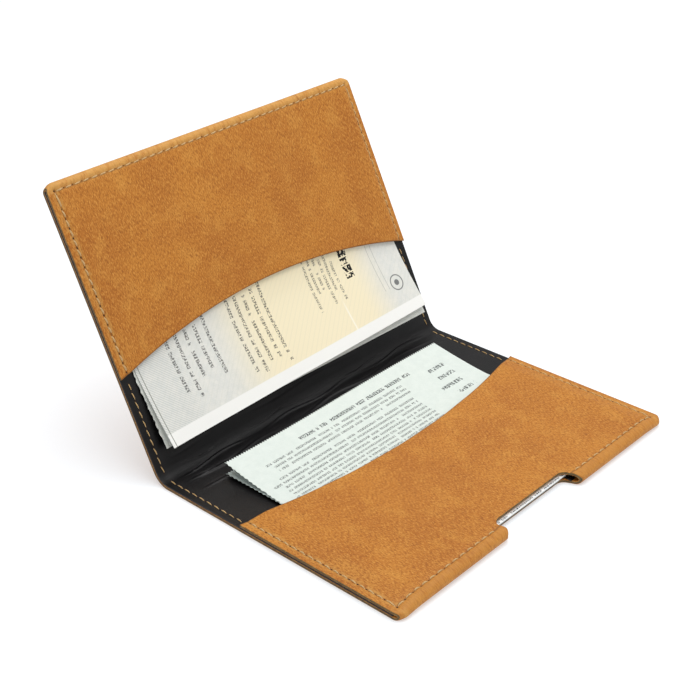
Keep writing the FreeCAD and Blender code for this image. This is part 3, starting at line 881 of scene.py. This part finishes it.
def new_paper(name, stock, deep):
    """A paper finish up to its printing: its tree, shader, colour, both directions and place."""
    finish, tree, surface = new_finish(name)
    place = flat_place(tree)
    fibre = add_node(tree, "ShaderNodeGroup", {"Place": place}, node_tree=fibre_group).outputs
    colour = mixed(tree, between(tree, fibre["Tone"], 0.35, 0.65), shade(deep), shade(stock))
    feed(tree, surface, {"Base Color": colour, "Roughness": 0.75, "Specular IOR Level": 0.25,
                         "Normal": relief_of(tree, fibre["Height"], 0.25, 0.00005)})
    u, v, _ = split(tree, place)
    return finish, tree, surface, colour, u, v, place


CERTIFICATE_END = 5.7
certificate_front_finish, tree, surface, colour, u, v, place = new_paper(
    "certificate_front", "E2E1DA", "D5D7D2")
cream = times(tree, between(tree, u, -32, -8), between(tree, u, 52, 34))
colour = tinted(tree, colour, cream, 1.0, "EFE4C4")
weave = sum_of(tree, "SINE", times(tree, sum_of(tree, "ADD", u, v), 6.5))
hatch = times(tree, between(tree, weave, 0.0, 0.8), between(tree, u, -40, -48))
colour = tinted(tree, colour, hatch, 0.5, "AEB4B4")
guilloche = sum_of(tree, "SINE", times(tree, sum_of(tree, "SUBTRACT", u, v), 2.6))
colour = tinted(tree, colour, between(tree, guilloche, 0.6, 1.0), 0.10, "B8BBA8")
crease = times(tree, between(tree, distance_from(tree, u, 26.6), 0.5, 0.1),
               between(tree, v, 23.0, 16.0))
colour = tinted(tree, colour, crease, 0.6, "FBF8EC")
border = between(tree, v, CERTIFICATE_END + 4.3, CERTIFICATE_END + 3.9)
colour = tinted(tree, colour, border, 1.0, "EFEFEB")
colour = printed(tree, v, u, colour, "3A3B3A", 0.8, Pitch=4.0, Letter_Height=0.33,
                 Letter_Width=0.9, First=-47.4, Last=-27.4, Near_End=10.8, Ragged=11.0)
colour = printed(tree, v, u, colour, "3A3B3A", 0.8, Pitch=3.6, Letter_Height=0.36,
                 Letter_Width=0.9, First=-20.3, Last=-2.3, Near_End=11.2, Ragged=3.5)
colour = printed(tree, v, u, colour, "3A3B3A", 0.75, Pitch=2.45, Letter_Height=0.44,
                 Letter_Width=0.8, First=15.4, Last=30.1, Near_End=20.5, Ragged=7.0)
colour = printed(tree, v, u, colour, "1C1C1C", 1.0, Pitch=5.0, Letter_Height=0.76,
                 Letter_Width=2.9, First=32.4, Last=37.4, Near_End=26.8, Ragged=0.0, Spaces=0.0)
for line in (46.2, 48.4):
    stroke = times(tree, between(tree, distance_from(tree, u, line), 0.16, 0.06),
                   between(tree, v, 16.5, 16.8))
    colour = tinted(tree, colour, stroke, 0.55, "8A8C86")
side_line = between(tree, distance_from(tree, u, -58.2), 0.22, 0.08)
colour = tinted(tree, colour, side_line, 0.7, "5A5E50")
from_mark = add_node(tree, "ShaderNodeVectorMath", {0: place, 1: (52.8, 17.8, 0)},
                     operation="DISTANCE").outputs["Value"]
ring = between(tree, distance_from(tree, from_mark, 2.8), 0.30, 0.12)
dot = between(tree, from_mark, 1.2, 1.0)
colour = tinted(tree, colour, sum_of(tree, "MAXIMUM", ring, dot), 0.8, "3C4044")
feed(tree, surface, {"Base Color": colour})

certificate_plain_finish = new_paper("certificate_plain", "E4E5DD", "D3D7D2")[0]

PAPER = 0.12
# Spacing of the lines across a leaf where it springs up.
LEAF_RULING = 0.9
# From here to the free edge a leaf lies flat in its pocket; nearer the spine it springs up.
FLAT_FROM = 33.0


def spring_at(v, end):
    """How far along its springing part a leaf is: 0 where it lies flat, 1 at its spine end."""
    return max(0.0, (FLAT_FROM - v) / (FLAT_FROM - end))


def leaf_work(low_u, high_u, low_v, high_v, fine=1.5):
    """A flat leaf of paper, ruled finely where it springs up out of the pocket."""
    return ruled_sheet(rule((low_u, fine), (high_u,)),
                       rule((low_v, LEAF_RULING), (FLAT_FROM + 1, 5), (high_v,)))


def certificate_leaf(work, name, finish, pocket_height, spring, curl, skew):
    """A leaf of the certificate; spring is its rise at the spine end, curl its shape, and skew how
    far it has turned askew."""
    thicken(work, PAPER)

    def place(u, v, n):
        rise = spring_at(v, CERTIFICATE_END)
        sway = 0.25 * math.sin(u * 0.045 + curl) + 0.10 * math.sin(u * 0.16)
        v += skew * (u + 30) * rise
        w = pocket_height + n + (spring + sway) * rise ** 1.35
        return rear_place(u, v, w)

    piece = form(work, name, [finish], place)
    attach(piece, "certificate")
    rear_place(0, 20, 1.78)
    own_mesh(piece)
    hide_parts("certificate")


work = leaf_work(-59.4, 60.3, CERTIFICATE_END, 85.4)
certificate_leaf(work, "certificate_front_leaf", certificate_front_finish,
                 pocket_height=2.14, spring=5.1, curl=0.4, skew=0.015)
work = leaf_work(-59.0, 60.1, CERTIFICATE_END + 0.2, 85.0)
certificate_leaf(work, "certificate_middle_leaf", certificate_plain_finish,
                 pocket_height=1.99, spring=3.7, curl=1.0, skew=-0.018)
torn_edge = -60.3
work = leaf_work(torn_edge, 60.4, CERTIFICATE_END, 85.5, 0.7)
tear = random.Random(3)
for point in work.verts:
    if point.co.x < torn_edge + 0.1:
        point.co.x += tear.uniform(0, 0.5)
certificate_leaf(work, "certificate_back_leaf", certificate_plain_finish,
                 pocket_height=1.84, spring=2.5, curl=2.2, skew=0.004)


# ------------------------------------------------------------------ insurance slip
# A folded slip of thin pale green paper lies in the front pocket. Its upper leaf has sprung up
# off the lower one, and both have finely perforated edges where they were torn from a pad.
SLIP_END = 9.45
# Spacing of the perforation, and how deep it is at the spine end and down the side.
PERFORATION = 0.5
END_CUT = 0.55
SIDE_CUT = 0.35
slip_front_finish, tree, surface, colour, u, v, _ = new_paper("slip_front", "DBE3DD", "D3DCD6")
colour = printed(tree, u, v, colour, "33383A", 0.95, Pitch=2.8, Letter_Height=0.5,
                 Letter_Width=0.95, First=14.4, Last=17.2, Near_End=-25.0, Ragged=0.0, Far_End=29.0)
colour = printed(tree, u, v, colour, "33383A", 0.78, Pitch=1.9, Letter_Height=0.48,
                 Letter_Width=0.72, First=17.6, Last=23.3, Near_End=-46.0, Ragged=12.0,
                 Far_End=22.0)
colour = printed(tree, u, v, colour, "33383A", 0.78, Pitch=1.9, Letter_Height=0.48,
                 Letter_Width=0.72, First=24.4, Last=60.0, Near_End=-48.0, Ragged=6.0,
                 Far_End=20.0, Spaces=0.13)
colour = printed(tree, u, v, colour, "33383A", 0.85, Pitch=4.6, Letter_Height=0.36,
                 Letter_Width=1.3, First=17.2, Last=60.0, Near_End=31.0, Ragged=4.0, Far_End=43.0)
feed(tree, surface, {"Base Color": colour})

slip_plain_finish = new_paper("slip_plain", "CFDAD6", "C2CECA")[0]


def slip_leaf(name, finish, low_u, high_u, low_v, high_v, pocket_height, rest_height, shape):
    """A leaf of the slip; pocket_height is its height in the pocket, rest_height its height at the
    spine end, and shape how its spine end is curved."""
    work = leaf_work(low_u, high_u, low_v, high_v, PERFORATION)
    for point in work.verts:
        if abs(point.co.y - low_v) < 0.01 and round((point.co.x - low_u) / PERFORATION) % 2:
            point.co.y += END_CUT
        elif point.co.x < low_u + 0.01 and round((point.co.y - low_v) / LEAF_RULING) % 2:
            point.co.x += SIDE_CUT
    thicken(work, PAPER)

    def place(u, v, n):
        lift = (rest_height - pocket_height + shape(u)) * spring_at(v, SLIP_END) ** 1.3
        return front_place(u, v, pocket_height + n + lift)

    piece = form(work, name, [finish], place)
    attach(piece, "slip")
    front_place(0, 20, 2.53)
    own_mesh(piece)
    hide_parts("slip")


slip_leaf("slip_upper_leaf", slip_front_finish, -49.9, 49.9, SLIP_END, 83.2,
          pocket_height=2.72, rest_height=6.4,
          shape=lambda u: 0.5 * math.sin(u * 0.05) - 0.010 * u)
slip_leaf("slip_lower_leaf", slip_plain_finish, -50.0, 49.6, SLIP_END + 0.5, 83.3,
          pocket_height=2.6, rest_height=2.7, shape=lambda u: 0.1 * math.sin(u * 0.09) ** 2)


# ------------------------------------------------------------------ card
# A white plastic card of the standard size lies under the slip in the front pocket. Its end shows
# in the thumb notch, where a thumb pushes it out.
CARD_THICK = 0.76
CARD_CORNER = 3.18
CARD_RIM = 0.08
card_low, card_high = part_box("card")
card_finish, tree, surface = new_finish("card_plastic")
place = flat_place(tree)
u, v, n = split(tree, place)
satin = noise(tree, place, 1.5, 2.0)
colour = mixed(tree, satin, shade("FBFCFA"), shade("F2F5F3"))
colour = printed(tree, u, v, colour, "20252A", 1.0, Pitch=0.8, Letter_Height=0.8,
                 Letter_Width=0.9, First=86.35, Last=87.15, Near_End=-30.0, Ragged=0.0,
                 Far_End=30.0)
# The lower half of the card's end is painted dark: painted shadow under the card's end.
end_shadow = times(tree, between(tree, n, -0.02, -0.06), between(tree, v, 87.0, 87.1))
colour = tinted(tree, colour, end_shadow, 0.8, "2A2D33")
feed(tree, surface, {"Base Color": colour, "Roughness": spread(tree, satin, 0.28, 0.4),
                     "Coat Weight": 0.2})

work = bmesh.new()
bmesh.ops.create_grid(work, x_segments=1, y_segments=1, size=0.5)
card_size = (card_high - card_low) * 1000
bmesh.ops.scale(work, vec=(card_size.x, card_size.y, 1), verts=work.verts)
bmesh.ops.bevel(work, geom=work.verts[:], offset=CARD_CORNER, segments=8, affect="VERTICES",
                profile=0.5, material=-1)
card_middle = (card_high + card_low) * 500
bmesh.ops.translate(work, vec=(0, front_axis.y - card_middle.y, 0), verts=work.verts)
thicken(work, CARD_THICK)
work.normal_update()
round_rims(work, CARD_RIM, 2)
card = form(work, "card_blank", [card_finish],
            lambda u, v, n: front_place(u, v, card_middle.z + n), sharp=30)
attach(card, "card")
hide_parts("card")
